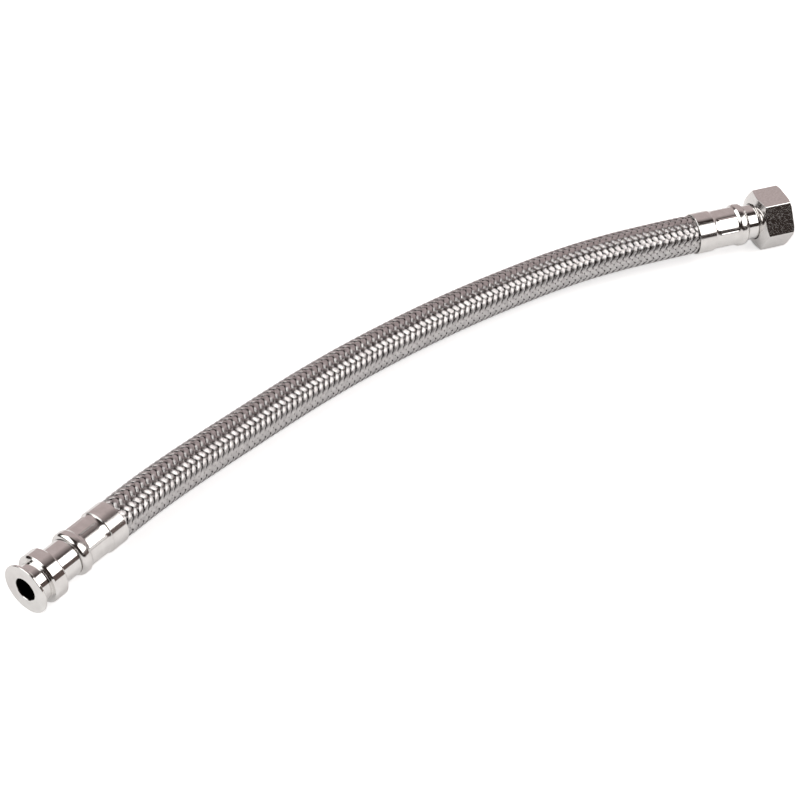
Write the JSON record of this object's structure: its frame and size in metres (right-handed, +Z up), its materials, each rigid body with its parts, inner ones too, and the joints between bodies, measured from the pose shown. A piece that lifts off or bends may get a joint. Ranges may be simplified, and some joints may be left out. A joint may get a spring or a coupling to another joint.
{
  "type": "braided expansion vessel hose",
  "caption": "Flexible hose in a woven steel sleeve, with a plug-in end that has a seal groove and a clip groove, and a loose hexagon nut on the other end.",
  "frame": {"origin": "on the surface that the hose lies on, under the middle of the box round its two end fittings", "axes": "+X from the plug-in end to the nut, +Z up, +Y to the side that the hose bows to"},
  "size_m": [0.3174, 0.0467, 0.019],
  "materials": {
    "nickel_plated_brass": "turned brass with bright nickel plating",
    "nickel_plated_sleeve": "drawn and crimped brass sleeve with bright nickel plating",
    "nickel_plated_nut": "machined brass with bright nickel plating",
    "steel_wire": "bright drawn steel wire, woven",
    "liner_rubber": "matte black rubber"
  },
  "bodies": {
    "hose": {"spigot_insert": "nickel_plated_brass", "spigot_ferrule": "nickel_plated_sleeve", "inner_liner": "liner_rubber", "wire_braid": "steel_wire", "nut_ferrule": "nickel_plated_sleeve", "nut_insert": "nickel_plated_brass"},
    "nut": {"swivel_nut": "nickel_plated_nut"}
  },
  "joints": [
    {"name": "nut_swivel", "type": "hinge", "parent": "hose", "child": "nut", "pos_m": [0.15566, -0.00373, 0.0095], "axis": [0.9521, -0.3057, 0], "continuous": true}
  ]
}
